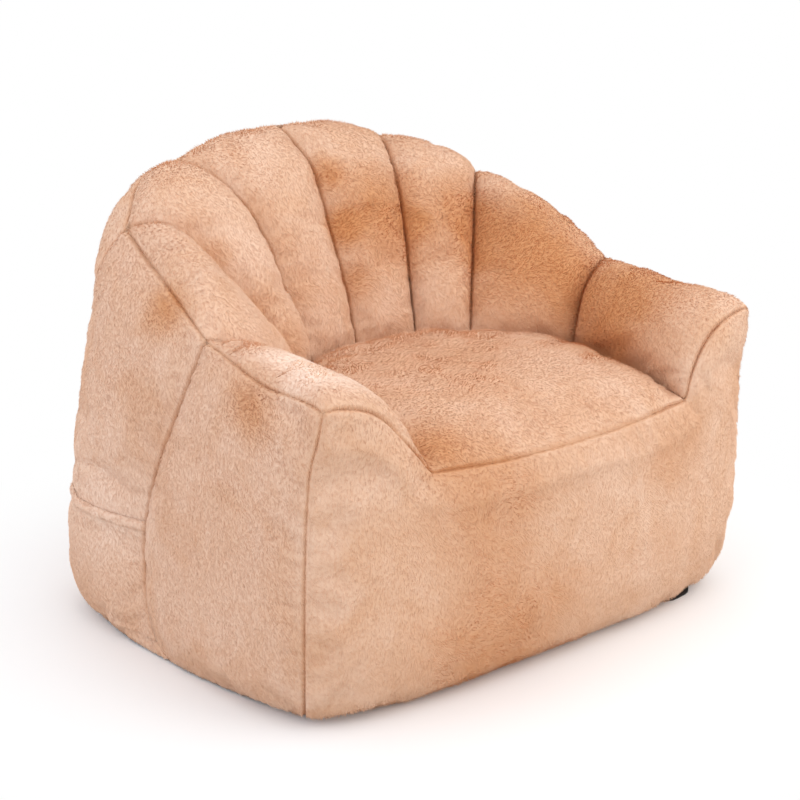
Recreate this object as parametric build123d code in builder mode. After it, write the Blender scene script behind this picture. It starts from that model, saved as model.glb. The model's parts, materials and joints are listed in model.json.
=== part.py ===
"""Bean bag armchair: a faux-fur cover sewn from panels over lined, filled chambers, with a zip low on the back.

Frame: +Z up, front towards -Y, origin on the floor under the middle of the chair. Left is -X, seen from the front.
Units are millimetres.
"""

import math
import os
from dataclasses import dataclass

from build123d import *

# Cloth
cover_thickness = 6.0
liner_thickness = 0.8
base_thickness = 3.0
pocket_thickness = 4.0
pocket_hem_thickness = 8.0

# Plan of the walls
side_x = 450.0
back_y = 390.0
rear_corner_radius = 150.0
front_side_x = 438.0
front_plane_y = -358.0
fan_centre_y = -175.0
foot_inset = 30.0

# Seam planes fan out from the fan centre, measured from the +X direction
arm_seam_angle = 13.7
wing_seam_angle = 46.4
channel_seam_angle = 66.0
centre_seam_angle = 90.0

# Heights of the ridge at each seam
arm_front_height = 484.0
arm_height = 517.0
wing_height = 632.0
channel_height = 706.0
back_height = 738.0

# Outer wall: upright between these heights, rounded below, and bowing out and leaning in above
wall_low_z = 60.0
wall_high_z = 220.0
wall_bow = 14.0
back_bow = 46.0
foot_bow = 9.0

# How far the cloth swells between seams
inner_swell = 24.0
crown_swell = 14.0
arm_inner_swell = 12.0
arm_crown_swell = 16.0

# Seat
seat_front_z = 360.0
seat_front_dip = 8.0
seat_brow_y = -270.0
seat_brow_z = 388.0
seat_brow_crown = 24.0
seat_middle_y = -110.0
seat_middle_z = 392.0
seat_crown = 48.0
seat_rear_y = 130.0
seat_rear_z = 380.0
seat_rear_crown = 22.0
seat_side_gap = 110.0

# Front pad
front_bulge = 37.0
front_shoulder = 24.0
front_shoulder_inset = 7.0
front_face_inset = 22.0

# Base cloth under the chair
base_front_inset = 13.0
base_front_corner = 55.0

# Side pockets, and the slanted seam that they are sewn into
pocket_top_z = 205.0
pocket_bottom_z = 22.0
pocket_hem_height = 15.0
side_seam_low_y = 55.0
side_seam_low_z = 140.0

# Zip in the flat of the back
zip_length = 400.0
zip_z = 105.0
zip_slot_half_height = 11.0
zip_slot_end = 8.0
chain_thickness = 2.4
tape_thickness = 0.8
tooth_tip_gap = 0.8
tooth_height = 1.4
spine_height = 2.0
tooth_pitch = 2.5
tooth_width = 1.4
stop_length = 3.0
slider_length = 12.0
slider_flange = 1.5
slider_plate = 1.2
slider_clearance = 0.3
slider_corner = 2.0
slider_post_length = 3.0
bridge_length = 8.0
bridge_width = 3.0
bridge_bar = 1.4
pull_thickness = 1.4
pull_arm = 1.5
pull_length = 30.0
pull_width = 9.0
pull_corner = 2.0
pull_hole = 3.6


@dataclass
class Station:
    """One upright section through a wall.

    u runs outwards in the section's plane from the chair's middle line. Insets are measured inwards from the
    outer wall, and drops downwards from the ridge.
    """

    origin_y: float
    angle: float
    outer_u: float
    seat_inset: float
    seat_z: float
    shoulder_inset: float
    shoulder_drop: float
    ridge_inset: float
    ridge_z: float
    brow_inset: float
    brow_drop: float
    bow: float = wall_bow

    def plane(self, shift=0.0):
        """The section's plane, moved towards the front of the chair by shift."""
        turn = math.radians(self.angle)
        out = (math.cos(turn), math.sin(turn), 0)
        facing = (math.sin(turn), -math.cos(turn), 0)
        return Plane((0, self.origin_y, 0), x_dir=out, z_dir=facing).offset(shift)

    def ridge_point(self):
        """The ridge's place in plan."""
        turn = math.radians(self.angle)
        reach = self.outer_u - self.ridge_inset
        return (reach * math.cos(turn), self.origin_y + reach * math.sin(turn))

    def corners(self, inset, lift):
        """The section's corners, drawn in by inset all round and raised off the base cloth by lift."""
        low_z = base_thickness + lift
        high_z = self.ridge_z - inset
        on_fan = self.origin_y == fan_centre_y
        outer = outer_reach(self.angle, inset) if on_fan else self.outer_u - inset
        inner = self.outer_u - self.seat_inset + inset
        return {
            "inner_foot": (inner, low_z),
            "outer_foot": (outer - foot_inset, low_z),
            "wall_low": (outer, wall_low_z),
            "wall_high": (outer, wall_high_z),
            "brow": (outer - self.brow_inset, high_z - self.brow_drop),
            "ridge": (self.outer_u - self.ridge_inset, high_z),
            "shoulder": (self.outer_u - self.shoulder_inset + inset, high_z - self.shoulder_drop),
            "seat": (inner, self.seat_z),
        }


def outer_reach(angle, inset=0.0):
    """Distance from the fan centre to the rounded rectangle that the upright outer walls follow, drawn in."""
    turn = math.radians(angle)
    x, y = math.cos(turn), math.sin(turn)
    corner_x = side_x - rear_corner_radius
    corner_y = back_y - fan_centre_y - rear_corner_radius
    radius = rear_corner_radius - inset
    if (corner_x + radius) * y < corner_y * x:
        return (corner_x + radius) / x
    if (corner_y + radius) * x < corner_x * y:
        return (corner_y + radius) / y
    along = x * corner_x + y * corner_y
    return along + math.sqrt(along**2 - corner_x**2 - corner_y**2 + radius**2)


arm_front = Station(
    origin_y=front_plane_y, angle=0.0, outer_u=front_side_x, seat_inset=176.0, seat_z=seat_front_z,
    shoulder_inset=103.0, shoulder_drop=29.0, ridge_inset=53.0, ridge_z=arm_front_height,
    brow_inset=14.0, brow_drop=16.0,
)
arm_seam = Station(
    origin_y=fan_centre_y, angle=arm_seam_angle, outer_u=outer_reach(arm_seam_angle), seat_inset=147.0,
    seat_z=seat_rear_z, shoulder_inset=91.0, shoulder_drop=29.0, ridge_inset=38.0, ridge_z=arm_height,
    brow_inset=12.0, brow_drop=29.0,
)
wing_seam = Station(
    origin_y=fan_centre_y, angle=wing_seam_angle, outer_u=outer_reach(wing_seam_angle), seat_inset=356.0,
    seat_z=seat_rear_z, shoulder_inset=200.0, shoulder_drop=32.0, ridge_inset=110.0, ridge_z=wing_height,
    brow_inset=62.0, brow_drop=62.0,
)
channel_seam = Station(
    origin_y=fan_centre_y, angle=channel_seam_angle, outer_u=outer_reach(channel_seam_angle), seat_inset=346.0,
    seat_z=seat_rear_z, shoulder_inset=226.0, shoulder_drop=68.0, ridge_inset=98.0, ridge_z=channel_height,
    brow_inset=34.0, brow_drop=56.0, bow=back_bow,
)
centre_seam = Station(
    origin_y=fan_centre_y, angle=centre_seam_angle, outer_u=outer_reach(centre_seam_angle), seat_inset=303.0,
    seat_z=seat_rear_z, shoulder_inset=183.0, shoulder_drop=70.0, ridge_inset=85.0, ridge_z=back_height,
    brow_inset=24.0, brow_drop=48.0, bow=back_bow,
)


def between(first, second, swell, crown):
    """The swollen section half way between two seams."""
    middle = Station(
        *((getattr(first, field) + getattr(second, field)) / 2 for field in Station.__dataclass_fields__)
    )
    if first.origin_y == second.origin_y:
        middle.outer_u = outer_reach(middle.angle)
        middle.ridge_inset += middle.outer_u - (first.outer_u + second.outer_u) / 2
        middle.shoulder_inset += middle.outer_u - (first.outer_u + second.outer_u) / 2
        middle.seat_inset += middle.outer_u - (first.outer_u + second.outer_u) / 2
    middle.seat_inset += swell
    middle.shoulder_inset += swell
    middle.ridge_z += crown
    return middle


spans = {
    "arm": (arm_front, between(arm_front, arm_seam, arm_inner_swell, arm_crown_swell), arm_seam),
    "wing": (arm_seam, between(arm_seam, wing_seam, inner_swell, crown_swell), wing_seam),
    "outer_channel": (wing_seam, between(wing_seam, channel_seam, inner_swell, crown_swell), channel_seam),
    "inner_channel": (channel_seam, between(channel_seam, centre_seam, inner_swell, crown_swell), centre_seam),
}
wall_names = {
    "arm": {"right": "arm_{}_right", "left": "arm_{}_left"},
    "wing": {"right": "wing_{}_right", "left": "wing_{}_left"},
    "outer_channel": {"right": "back_channel_{}_4", "left": "back_channel_{}_1"},
    "inner_channel": {"right": "back_channel_{}_3", "left": "back_channel_{}_2"},
}
hands = ("right", "left")
lined_inset = cover_thickness
filled_inset = cover_thickness + liner_thickness


def bowed(start, end, bow):
    """The middle of an arc from start to end that bows to its right by bow."""
    run_u, run_z = end[0] - start[0], end[1] - start[1]
    run = math.hypot(run_u, run_z)
    return ((start[0] + end[0]) / 2 + bow * run_z / run, (start[1] + end[1]) / 2 - bow * run_u / run)


def outer_edges(corners, bow):
    """The outer side of a section, from its foot over the ridge down to the seat, its wall bowed out by bow."""
    foot, low, high = corners["outer_foot"], corners["wall_low"], corners["wall_high"]
    ThreePointArc(foot, bowed(foot, low, foot_bow), low)
    Line(low, high)
    ThreePointArc(high, bowed(high, corners["brow"], bow), corners["brow"])
    ThreePointArc(corners["brow"], corners["ridge"], corners["shoulder"])
    Line(corners["shoulder"], corners["seat"])


def wall_body(span, inset, lift=0.0, end_gap=0.0):
    """A wall chamber lofted through its two seams and the swell between them."""
    with BuildPart() as body:
        for station, shift in zip(span, (-end_gap, 0.0, end_gap)):
            corners = station.corners(inset, lift)
            with BuildSketch(station.plane(shift)):
                with BuildLine():
                    outer_edges(corners, station.bow)
                    Line(corners["seat"], corners["inner_foot"])
                    Line(corners["inner_foot"], corners["outer_foot"])
                make_face()
        loft()
    return body.part


def ridge_plane(span):
    """The upright plane along a chamber's ridge, facing outwards."""
    first_x, first_y = span[0].ridge_point()
    last_x, last_y = span[2].ridge_point()
    return Plane((first_x, first_y, 0), x_dir=(0, 0, 1), z_dir=(last_y - first_y, first_x - last_x, 0))


def on_hand(piece, hand):
    """The piece as it is on the right, or its mirror image on the left."""
    with BuildPart() as placed:
        if hand == "right":
            add(piece)
        else:
            mirror(piece, about=Plane.YZ)
    return placed.part


def finish(piece, name):
    """Labels a piece and writes it as its own node."""
    piece.label = name
    export_step(piece, f"parts/{name}.step")


os.makedirs("parts", exist_ok=True)

# Wall chambers: a fill in a closed liner, under the cover's inner panel and its outer cloth
covered_walls = {wall: wall_body(span, 0.0) for wall, span in spans.items()}
outer_cloth = {}
for wall, span in spans.items():
    lined = wall_body(span, lined_inset)
    filled = wall_body(span, filled_inset, liner_thickness, liner_thickness)
    with BuildPart() as liner:
        add(lined)
        add(filled, mode=Mode.SUBTRACT)
    with BuildPart() as inner_panel:
        add(covered_walls[wall])
        add(lined, mode=Mode.SUBTRACT)
        split(bisect_by=ridge_plane(span), keep=Keep.BOTTOM)
    with BuildPart() as outer_side:
        add(covered_walls[wall])
        add(lined, mode=Mode.SUBTRACT)
        split(bisect_by=ridge_plane(span), keep=Keep.TOP)
    outer_cloth[wall] = outer_side.part
    for hand in hands:
        name = wall_names[wall][hand]
        finish(on_hand(filled, hand), name.format("fill"))
        finish(on_hand(liner.part, hand), name.format("liner"))
        finish(on_hand(inner_panel.part, hand), name.format("panel"))

# Side and rear side panels meet at a seam that slants back on its way down from the arm's ridge
seam_top_y = arm_seam.ridge_point()[1]
seam_run_y = side_seam_low_y - seam_top_y
seam_run_z = side_seam_low_z - arm_height
side_seam = Plane((0, seam_top_y, arm_height), x_dir=(1, 0, 0), z_dir=(0, -seam_run_z, seam_run_y))
with BuildPart() as side_panel:
    add(outer_cloth["arm"])
    add(outer_cloth["wing"])
    split(bisect_by=side_seam, keep=Keep.BOTTOM)
with BuildPart() as rear_side_panel:
    add(outer_cloth["arm"])
    add(outer_cloth["wing"])
    split(bisect_by=side_seam, keep=Keep.TOP)


def pocket_layer(thickness, low_z, high_z):
    """A patch of cloth on the rear side panel, between two heights."""
    thickened = wall_body(spans["wing"], -thickness)
    with BuildPart() as layer:
        add(thickened)
        add(covered_walls["wing"], mode=Mode.SUBTRACT)
        split(bisect_by=ridge_plane(spans["wing"]), keep=Keep.TOP)
        split(bisect_by=side_seam, keep=Keep.TOP)
        split(bisect_by=Plane.XY.offset(low_z), keep=Keep.TOP)
        split(bisect_by=Plane.XY.offset(high_z), keep=Keep.BOTTOM)
    return layer.part


# Pocket: a patch with a turned hem at its mouth
pocket_hem_z = pocket_top_z - pocket_hem_height
pocket_patch = pocket_layer(pocket_thickness, pocket_bottom_z, pocket_hem_z)
pocket_hem = pocket_layer(pocket_hem_thickness, pocket_hem_z, pocket_top_z)
with BuildPart() as pocket:
    add(pocket_patch)
    add(pocket_hem)
for hand in hands:
    finish(on_hand(side_panel.part, hand), f"side_panel_{hand}")
    finish(on_hand(rear_side_panel.part, hand), f"rear_side_panel_{hand}")
    finish(on_hand(pocket.part, hand), f"pocket_panel_{hand}")

# Back panel: one cloth over the four channels, with a slot for the zip
slot_length = zip_length + 2 * zip_slot_end
zip_floor_y = back_y - cover_thickness
from_floor = (Align.CENTER, Align.MIN, Align.CENTER)
back_cloth = [on_hand(outer_cloth[wall], hand) for wall in ("outer_channel", "inner_channel") for hand in hands]
with BuildPart() as back_panel:
    add(back_cloth)
    with Locations((0, zip_floor_y, zip_z)):
        Box(slot_length, 2 * cover_thickness, 2 * zip_slot_half_height, align=from_floor, mode=Mode.SUBTRACT)
finish(back_panel.part, "back_panel")


def seat_body(drop, lift=0.0, front_gap=0.0):
    """The seat's block before the walls are cut from it, its crown lowered by drop."""
    half_width = front_side_x - seat_side_gap
    stations = (
        (front_plane_y + front_gap, seat_front_z - drop, -seat_front_dip),
        (seat_brow_y, seat_brow_z - drop, seat_brow_crown),
        (seat_middle_y, seat_middle_z - drop, seat_crown),
        (seat_rear_y, seat_rear_z - drop, seat_rear_crown),
    )
    low_z = base_thickness + lift
    with BuildPart() as body:
        for y, edge_z, crown in stations:
            with BuildSketch(Plane((0, y, 0), x_dir=(1, 0, 0), z_dir=(0, -1, 0))):
                with BuildLine():
                    Polyline((-half_width, edge_z), (-half_width, low_z), (half_width, low_z), (half_width, edge_z))
                    ThreePointArc((half_width, edge_z), (0, edge_z + crown), (-half_width, edge_z))
                make_face()
        loft()
    return body.part


# Seat: a crowned top panel over its own lined fill, between the walls
walls = [on_hand(covered_walls[wall], hand) for wall in spans for hand in hands]
lined_walls = [on_hand(wall_body(span, -liner_thickness), hand) for span in spans.values() for hand in hands]
seat_top = seat_body(0.0)
seat_lined = seat_body(lined_inset)
seat_filled = seat_body(filled_inset, liner_thickness, liner_thickness)
with BuildPart() as seat_panel:
    add(seat_top)
    add(seat_lined, mode=Mode.SUBTRACT)
    add(walls, mode=Mode.SUBTRACT)
finish(seat_panel.part, "seat_panel")
with BuildPart() as seat_fill:
    add(seat_filled)
    add(lined_walls, mode=Mode.SUBTRACT)
finish(seat_fill.part, "seat_fill")
with BuildPart() as seat_liner:
    add(seat_lined)
    add(walls, mode=Mode.SUBTRACT)
    add(seat_fill.part, mode=Mode.SUBTRACT)
finish(seat_liner.part, "seat_liner")


def front_body(inset, back_gap=0.0):
    """The front pad: the outline of arms and seat, swelling forwards and rounding off at its edge."""
    stages = (
        (front_plane_y - back_gap, 0.0),
        (front_plane_y - front_shoulder + inset, front_shoulder_inset),
        (front_plane_y - front_bulge + inset, front_face_inset),
    )
    with BuildPart() as body:
        for y, edge_inset in stages:
            drawn_in = inset + edge_inset
            corners = arm_front.corners(drawn_in, drawn_in)
            corners["seat"] = (corners["seat"][0], seat_front_z - drawn_in)
            corners["ridge"] = ((corners["brow"][0] + corners["shoulder"][0]) / 2, corners["ridge"][1])
            seat_x, seat_z = corners["seat"]
            with BuildSketch(Plane((0, y, 0), x_dir=(1, 0, 0), z_dir=(0, -1, 0))):
                with BuildLine() as half:
                    Line((0, corners["outer_foot"][1]), corners["outer_foot"])
                    outer_edges(corners, arm_front.bow)
                    TangentArc(corners["seat"], (0, seat_z - seat_front_dip), tangent=(-seat_x, -2 * seat_front_dip))
                    mirror(about=Plane.YZ)
                make_face()
        loft()
    return body.part


# Front pad: the panel that closes the arms and the seat in front, over its own lined fill
front_covered = front_body(0.0)
front_lined = front_body(lined_inset)
front_filled = front_body(filled_inset, liner_thickness)
with BuildPart() as front_panel:
    add(front_covered)
    add(front_lined, mode=Mode.SUBTRACT)
with BuildPart() as front_liner:
    add(front_lined)
    add(front_filled, mode=Mode.SUBTRACT)
finish(front_panel.part, "front_panel")
finish(front_liner.part, "front_liner")
finish(front_filled, "front_fill")

# Base: a tough flat cloth that the chair stands on
base_front_y = front_plane_y + base_front_inset
base_back_y = back_y - foot_inset
with BuildPart() as base_panel:
    with BuildSketch() as base_plan:
        with BuildLine():
            Polyline(
                (-front_side_x + foot_inset, base_front_y),
                (front_side_x - foot_inset, base_front_y),
                (side_x - foot_inset, base_back_y),
                (-side_x + foot_inset, base_back_y),
                close=True,
            )
        make_face()
        fillet(base_plan.vertices().group_by(Axis.Y)[0], base_front_corner)
        fillet(base_plan.vertices().group_by(Axis.Y)[-1], rear_corner_radius - foot_inset)
    extrude(amount=base_thickness)
finish(base_panel.part, "base_panel")

# Zip: the chain lies in the slot, with room behind it for the slider's rear plate
chain_y = zip_floor_y + slider_plate + 2 * slider_clearance + chain_thickness / 2
tooth_root = tooth_tip_gap + tooth_height
spine_outer = tooth_root + spine_height
tooth_count = int(zip_length / tooth_pitch) - 1
for name, side in (("upper", 1), ("lower", -1)):
    tape_width = zip_slot_half_height - spine_outer
    with BuildPart() as tape:
        with Locations((0, chain_y, zip_z + side * (spine_outer + tape_width / 2))):
            Box(zip_length, tape_thickness, tape_width)
    finish(tape.part, f"zip_tape_{name}")
    with BuildPart() as teeth:
        with BuildSketch(Plane.XZ.offset(-chain_y - chain_thickness / 2)):
            with Locations((0, zip_z + side * (tooth_root + spine_height / 2))):
                Rectangle(zip_length, spine_height)
            with Locations((side * tooth_pitch / 4, zip_z + side * (tooth_root - tooth_height / 2))):
                with GridLocations(tooth_pitch, 0, tooth_count, 1):
                    Rectangle(tooth_width, tooth_height)
        extrude(amount=chain_thickness)
    finish(teeth.part, f"zip_teeth_{name}")
with BuildPart() as zip_stops:
    with Locations(
        (-(zip_length + stop_length) / 2, chain_y, zip_z),
        ((zip_length + stop_length) / 2, chain_y, zip_z),
    ):
        Box(stop_length, chain_thickness, 2 * spine_outer)
finish(zip_stops.part, "zip_stops")

# Slider: two plates round the chain, held together by a post between the teeth, with a bridge for the pull
slider_x = (zip_length - slider_length) / 2 - slider_clearance
slider_height = 2 * (spine_outer + slider_clearance + slider_flange)
plate_gap = chain_thickness / 2 + slider_clearance
flange_depth = plate_gap - tape_thickness / 2 - slider_clearance
flange_length = slider_length - 2 * slider_corner
bridge_y = chain_y + plate_gap + slider_plate
bridge_window = pull_thickness + 4 * slider_clearance
with BuildPart() as zip_slider:
    for side, inward in ((1, Align.MAX), (-1, Align.MIN)):
        with BuildSketch(Plane.XZ.offset(-chain_y - side * plate_gap)):
            with Locations((slider_x, zip_z)):
                RectangleRounded(slider_length, slider_height, slider_corner)
        extrude(amount=-side * slider_plate)
        for edge in (1, -1):
            flange_z = zip_z + edge * (slider_height - slider_flange) / 2
            with Locations((slider_x, chain_y + side * plate_gap, flange_z)):
                Box(flange_length, flange_depth, slider_flange, align=(Align.CENTER, inward, Align.CENTER))
    with Locations((slider_x + (slider_length - slider_post_length) / 2, chain_y, zip_z)):
        Box(slider_post_length, 2 * plate_gap, 2 * (tooth_tip_gap - slider_clearance))
    with Locations((slider_x, bridge_y, zip_z)):
        Box(bridge_length, bridge_window + bridge_bar, bridge_width, align=from_floor)
        Box(bridge_length - 2 * bridge_bar, bridge_window, bridge_width, align=from_floor, mode=Mode.SUBTRACT)
finish(zip_slider.part, "zip_slider")

# Pull: a tab whose bar turns in the slider's bridge, lying flat towards the open end
pull_low_y = bridge_y + 2 * slider_clearance
pull_window = bridge_width + 2 * slider_clearance
pull_start = math.hypot(bridge_length / 2, bridge_window + bridge_bar - pull_thickness / 2)
pull_plane = Plane((slider_x, pull_low_y, zip_z), x_dir=(-1, 0, 0), z_dir=(0, 1, 0))
with BuildPart() as zip_pull:
    with BuildSketch(pull_plane) as pull_outline:
        with Locations((pull_start, 0)):
            Rectangle(pull_length - pull_start, pull_width, align=(Align.MIN, Align.CENTER))
        fillet(pull_outline.vertices(), pull_corner)
        with Locations((-pull_thickness / 2, 0)):
            Rectangle(pull_start + pull_corner, pull_window + 2 * pull_arm, align=(Align.MIN, Align.CENTER))
        with Locations((pull_thickness / 2, 0)):
            Rectangle(
                pull_start - pull_thickness / 2, pull_window, align=(Align.MIN, Align.CENTER), mode=Mode.SUBTRACT
            )
        with Locations((pull_length - pull_width / 2, 0)):
            Circle(pull_hole / 2, mode=Mode.SUBTRACT)
    extrude(amount=pull_thickness)
finish(zip_pull.part, "zip_pull")
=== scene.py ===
"""Bean bag armchair in short plush faux fur: sewn panels puffed by pressure, with pockets, base and zip.

Left is -X as seen from the front, which faces -Y. Places and sizes are written in millimetres.
"""

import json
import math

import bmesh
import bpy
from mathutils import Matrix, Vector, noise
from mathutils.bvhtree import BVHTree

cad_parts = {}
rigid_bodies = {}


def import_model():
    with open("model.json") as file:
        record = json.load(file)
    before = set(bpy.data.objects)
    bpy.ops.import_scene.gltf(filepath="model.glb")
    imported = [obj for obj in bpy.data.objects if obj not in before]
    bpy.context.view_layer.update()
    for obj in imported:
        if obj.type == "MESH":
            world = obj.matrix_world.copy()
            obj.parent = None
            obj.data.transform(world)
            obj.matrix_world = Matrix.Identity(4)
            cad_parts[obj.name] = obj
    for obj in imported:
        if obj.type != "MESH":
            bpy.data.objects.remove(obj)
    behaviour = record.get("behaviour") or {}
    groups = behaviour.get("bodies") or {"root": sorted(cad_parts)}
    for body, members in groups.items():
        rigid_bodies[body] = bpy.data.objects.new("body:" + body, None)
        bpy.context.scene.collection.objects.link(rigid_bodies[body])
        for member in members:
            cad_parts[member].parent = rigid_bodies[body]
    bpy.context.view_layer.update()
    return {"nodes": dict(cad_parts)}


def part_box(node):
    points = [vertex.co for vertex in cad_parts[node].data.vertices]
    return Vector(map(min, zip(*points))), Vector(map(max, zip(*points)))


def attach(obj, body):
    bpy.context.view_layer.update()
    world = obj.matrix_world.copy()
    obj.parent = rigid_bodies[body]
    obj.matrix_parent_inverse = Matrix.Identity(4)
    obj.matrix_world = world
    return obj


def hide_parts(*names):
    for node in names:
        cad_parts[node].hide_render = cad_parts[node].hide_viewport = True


bl_info = {
    "name": "Plush bean bag armchair",
    "version": (1, 0, 0),
    "blender": (4, 5, 0),
    "location": "3D View > Sidebar > Armchair",
    "description": "Builds a bean bag armchair on its packed frame, one operator for each group of pieces",
    "category": "Object",
}

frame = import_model()

MM = 0.001
HANDS = {"right": 1, "left": -1}
BAKE_MAP = "OFBake"

# Seams of the right half, from the top down and from the front back
FAN_CENTRE_Y = -175
ARM_ANGLE, WING_ANGLE, CHANNEL_ANGLE, CENTRE_ANGLE = 13.7, 46.4, 66.0, 90.0
FOOT_Z = 4
CORNER_TOP = (432, -374, 484)
SEAT_CORNER = (262, -380, 360)
SEAT_LEAN, SEAT_LEAN_ACROSS, SEAT_LEAN_BACK, SEAT_LEAN_UP = 18, 120, 260, 90
SHOULDER = (297, 272, 685)
SHOULDER_SAG, SHOULDER_SAG_REACH = 14, 80
ARM_FOOT = (461, -15, FOOT_Z)
WING_FOOT = (404, 296, FOOT_Z)
FRONT_FOOT = (400, -282, FOOT_Z)

# Grid counts along each kind of seam
ARM_STEPS, WING_STEPS, OUTER_CHANNEL_STEPS, INNER_CHANNEL_STEPS = 32, 26, 18, 20
INNER_STEPS, OUTER_STEPS = 36, 50
BACK_STEPS = OUTER_CHANNEL_STEPS + INNER_CHANNEL_STEPS
HALF_SEAT_STEPS = WING_STEPS + BACK_STEPS


def fan(angle, profile):
    """Points of a seam in an upright plane through the fan's centre, from pairs of reach and height."""
    turn = math.radians(angle)
    return [(u * math.cos(turn), FAN_CENTRE_Y + u * math.sin(turn), z) for u, z in profile]


ARM_SEAM = fan(ARM_ANGLE, [(425, 517), (393, 502), (355, 471), (335, 423), (318, 374)])
WING_SEAM = fan(WING_ANGLE, [(531, 629), (467, 632), (414, 579), (338, 501), (290, 446), (262, 390)])
CHANNEL_SEAM = fan(
    CHANNEL_ANGLE, [(520, 705), (450, 682), (387, 634), (345, 570), (320, 500), (278, 405), (272, 390)]
)
CENTRE_SEAM = fan(CENTRE_ANGLE, [(481, 741), (420, 703), (379, 666), (340, 580), (301, 493), (268, 389)])
SEAMS = {
    "arm_seam": ARM_SEAM,
    "wing_seam": WING_SEAM,
    "channel_seam": CHANNEL_SEAM,
    "centre_seam": CENTRE_SEAM,
    "arm_ridge": [CORNER_TOP, (431, -338, 490), (430, -241, 490), (425, -165, 503), ARM_SEAM[0]],
    "wing_ridge": [ARM_SEAM[0], (410, -19, 546), (402, 47, 577), (386, 132, 604), WING_SEAM[0]],
    "outer_channel_ridge": [WING_SEAM[0], SHOULDER, CHANNEL_SEAM[0]],
    "inner_channel_ridge": [CHANNEL_SEAM[0], (108, 316, 732), CENTRE_SEAM[0]],
    "arm_front": [
        CORNER_TOP, (405, -378, 485), (362, -380, 474), (328, -380, 452), (297, -379, 416), SEAT_CORNER
    ],
    "arm_seat": [SEAT_CORNER, (288, -250, 372), ARM_SEAM[-1]],
    "wing_seat": [ARM_SEAM[-1], (255, -45, 384), WING_SEAM[-1]],
    "outer_channel_seat": [WING_SEAM[-1], (148, 48, 390), CHANNEL_SEAM[-1]],
    "inner_channel_seat": [CHANNEL_SEAM[-1], (56, 88, 390), CENTRE_SEAM[-1]],
    "seat_front": [SEAT_CORNER, (130, -388, 350), (0, -392, 349)],
    "front_corner": [
        CORNER_TOP, (438, -368, 437), (442, -357, 396), (446, -351, 308), (448, -348, 218), (446, -343, 126),
        (432, -322, 28), FRONT_FOOT
    ],
    "side_seam": [
        ARM_SEAM[0], (436, -44, 424), (446, 8, 320), (447, 50, 225), (449, 60, 138), (457, 36, 42), ARM_FOOT
    ],
    "rear_seam": [
        WING_SEAM[0], (395, 246, 560), (407, 262, 470), (421, 282, 350), (433, 293, 200), (433, 297, 80),
        WING_FOOT
    ],
    "side_floor": [FRONT_FOOT, (434, -205, FOOT_Z), (454, -100, FOOT_Z), ARM_FOOT],
    "rear_side_floor": [ARM_FOOT, (463, 90, FOOT_Z), (444, 220, FOOT_Z), WING_FOOT],
    "back_floor": [WING_FOOT, (330, 345, FOOT_Z), (200, 362, FOOT_Z), (0, 366, FOOT_Z)],
    "front_floor": [
        FRONT_FOOT, (375, -294, FOOT_Z), (320, -305, FOOT_Z), (170, -317, FOOT_Z), (0, -321, FOOT_Z)
    ],
}

# How far each panel swells, and how square its swell is along and across
SWELLS = {
    "arm": (30, 3.0, 2.6),
    "wing": (27, 2.4, 4.0),
    "outer_channel": (27, 2.3, 4.5),
    "inner_channel": (20, 2.3, 4.5),
    "side": (3, 3.0, 6.0),
    "rear_side": (4, 3.0, 6.0),
    "back": (28, 2.6, 4.0),
    "seat": (44, 2.6, 2.6),
    "front": (22, 6.0, 2.4),
}

# The power that rounds a swell off towards its seams
SWELL_ROUNDING = 0.62


def linear(colour):
    """An sRGB hex colour as the linear values that shaders take."""
    channels = [int(colour[at:at + 2], 16) / 255 for at in (1, 3, 5)]
    return [c / 12.92 if c <= 0.04045 else ((c + 0.055) / 1.055) ** 2.4 for c in channels] + [1.0]


def add_node(tree, kind, inputs=(), **settings):
    """Adds a node, sets its properties, and links or sets its inputs, given as pairs of socket and value."""
    node = tree.nodes.new(kind)
    for name, value in settings.items():
        setattr(node, name, value)
    for socket, value in inputs:
        if isinstance(value, bpy.types.NodeSocket):
            tree.links.new(value, node.inputs[socket])
        else:
            node.inputs[socket].default_value = value
    return node


def new_material(name):
    """An empty material with its shader and the object's own coordinates."""
    material = bpy.data.materials.new(name)
    material.use_nodes = True
    tree = material.node_tree
    tree.nodes.clear()
    shader = tree.nodes.new("ShaderNodeBsdfPrincipled")
    output = tree.nodes.new("ShaderNodeOutputMaterial")
    tree.links.new(shader.outputs["BSDF"], output.inputs["Surface"])
    place = tree.nodes.new("ShaderNodeTexCoord").outputs["Object"]
    return material, tree, shader, place


def per_metre(size_mm):
    """A noise scale whose features are about size_mm across."""
    return 1000 / size_mm


def blend_ramp(tree, factor, stops):
    """A colour ramp through pairs of position and hex colour."""
    ramp = add_node(tree, "ShaderNodeValToRGB", [("Fac", factor)])
    elements = ramp.color_ramp.elements
    while len(elements) < len(stops):
        elements.new(0.5)
    for element, (position, colour) in zip(elements, stops):
        element.position = position
        element.color = linear(colour)
    return ramp.outputs["Color"]


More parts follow.
